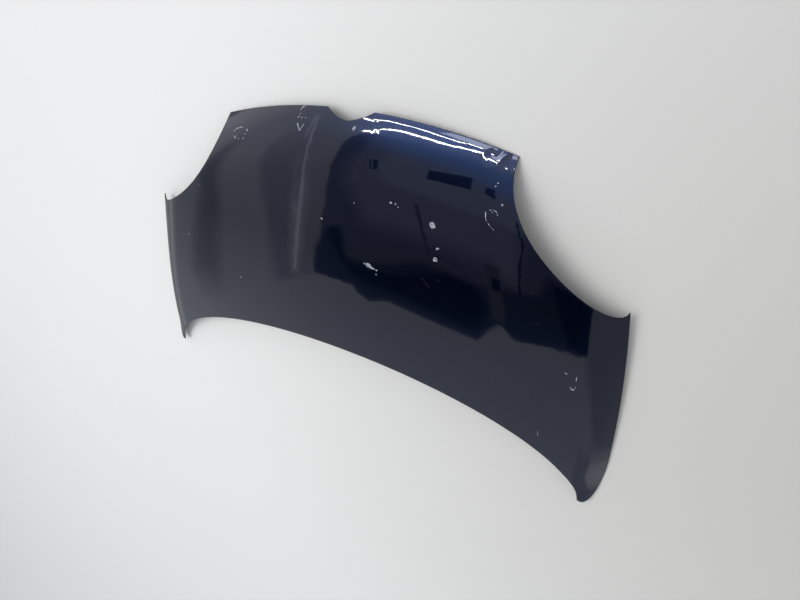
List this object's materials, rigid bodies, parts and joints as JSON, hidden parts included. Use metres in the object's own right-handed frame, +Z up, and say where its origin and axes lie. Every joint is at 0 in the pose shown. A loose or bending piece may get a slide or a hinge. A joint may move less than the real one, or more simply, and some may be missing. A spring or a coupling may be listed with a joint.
{
  "type": "car bonnet",
  "caption": "Dark navy front bonnet of a small hatchback: crowned skin with a badge notch and headlamp cut-outs, hemmed over a ribbed inner frame with a lock striker.",
  "frame": {"origin": "middle of the panel's bounding box in plan, on the floor plane that the hemmed edges rest on", "axes": "+X to the car's right-hand side, +Y towards the nose, +Z up out of the painted face; the panel lies painted face up as it comes to rest"},
  "size_m": [1.412, 0.8104, 0.0997],
  "materials": {
    "body_paint": "dark navy metallic under clear lacquer, chipped and crayon-marked",
    "inner_paint": "thin dark navy, little lacquer",
    "primer": "matt grey primer",
    "zinc_plate": "zinc plated",
    "rubber": "matt black",
    "black_plastic": "moulded black",
    "mastic": "soft grey-brown mastic"
  },
  "bodies": {
    "root": {"access_plug_left": "black_plastic", "access_plug_right": "black_plastic", "bump_stop_left": "rubber", "bump_stop_right": "rubber", "hinge_nut_left_front": "zinc_plate", "hinge_nut_left_rear": "zinc_plate", "hinge_nut_right_front": "zinc_plate", "hinge_nut_right_rear": "zinc_plate", "hinge_reinforcement_left": "primer", "hinge_reinforcement_right": "primer", "inner_frame": "inner_paint", "mastic_pad_01": "mastic", "mastic_pad_02": "mastic", "mastic_pad_03": "mastic", "mastic_pad_04": "mastic", "mastic_pad_05": "mastic", "mastic_pad_06": "mastic", "mastic_pad_07": "mastic", "mastic_pad_08": "mastic", "mastic_pad_09": "mastic", "mastic_pad_10": "mastic", "mastic_pad_11": "mastic", "mastic_pad_12": "mastic", "mastic_pad_13": "mastic", "mastic_pad_14": "mastic", "outer_skin": "body_paint", "stay_rod_socket": "black_plastic", "striker_bolt_left": "zinc_plate", "striker_bolt_right": "zinc_plate", "striker_footplate": "zinc_plate", "striker_loop": "zinc_plate", "striker_nut_left": "zinc_plate", "striker_nut_right": "zinc_plate", "striker_reinforcement": "primer"}
  },
  "joints": []
}
